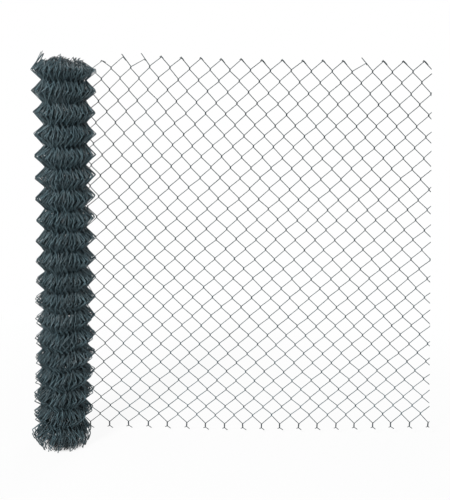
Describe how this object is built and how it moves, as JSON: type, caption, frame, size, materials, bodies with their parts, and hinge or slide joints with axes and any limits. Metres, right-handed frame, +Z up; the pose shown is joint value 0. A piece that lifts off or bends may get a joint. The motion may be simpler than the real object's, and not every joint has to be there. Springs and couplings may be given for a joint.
{
  "type": "chain link fence roll",
  "caption": "Standing roll of coated chain link fence mesh, partly unrolled into a flat panel of woven diamond wires with a knuckled top edge and a twisted, barbed bottom edge.",
  "frame": {"origin": "on the floor, at the roll's axis", "axes": "+Z up along the roll, +X along the unrolled panel away from the roll, -Y towards the viewer"},
  "size_m": [1.5957, 0.2272, 1.5154],
  "materials": {
    "coated_wire": "dark slate plastic coat over steel wire, satin"
  },
  "bodies": {
    "root": {"panel_picket_01": "coated_wire", "panel_picket_02": "coated_wire", "panel_picket_03": "coated_wire", "panel_picket_04": "coated_wire", "panel_picket_05": "coated_wire", "panel_picket_06": "coated_wire", "panel_picket_07": "coated_wire", "panel_picket_08": "coated_wire", "panel_picket_09": "coated_wire", "panel_picket_10": "coated_wire", "panel_picket_11": "coated_wire", "panel_picket_12": "coated_wire", "panel_picket_13": "coated_wire", "panel_picket_14": "coated_wire", "panel_picket_15": "coated_wire", "panel_picket_16": "coated_wire", "panel_picket_17": "coated_wire", "panel_picket_18": "coated_wire", "panel_picket_19": "coated_wire", "panel_picket_20": "coated_wire", "panel_picket_21": "coated_wire", "panel_picket_22": "coated_wire", "panel_picket_23": "coated_wire", "panel_picket_24": "coated_wire", "panel_picket_25": "coated_wire", "panel_picket_26": "coated_wire", "panel_picket_27": "coated_wire", "panel_picket_28": "coated_wire", "panel_picket_29": "coated_wire", "panel_picket_30": "coated_wire", "panel_picket_31": "coated_wire", "panel_picket_32": "coated_wire", "panel_picket_33": "coated_wire", "panel_picket_34": "coated_wire", "panel_picket_35": "coated_wire", "panel_picket_36": "coated_wire", "panel_picket_37": "coated_wire", "panel_picket_38": "coated_wire", "panel_picket_39": "coated_wire", "roll_turn_1": "coated_wire", "roll_turn_2": "coated_wire"}
  },
  "joints": []
}
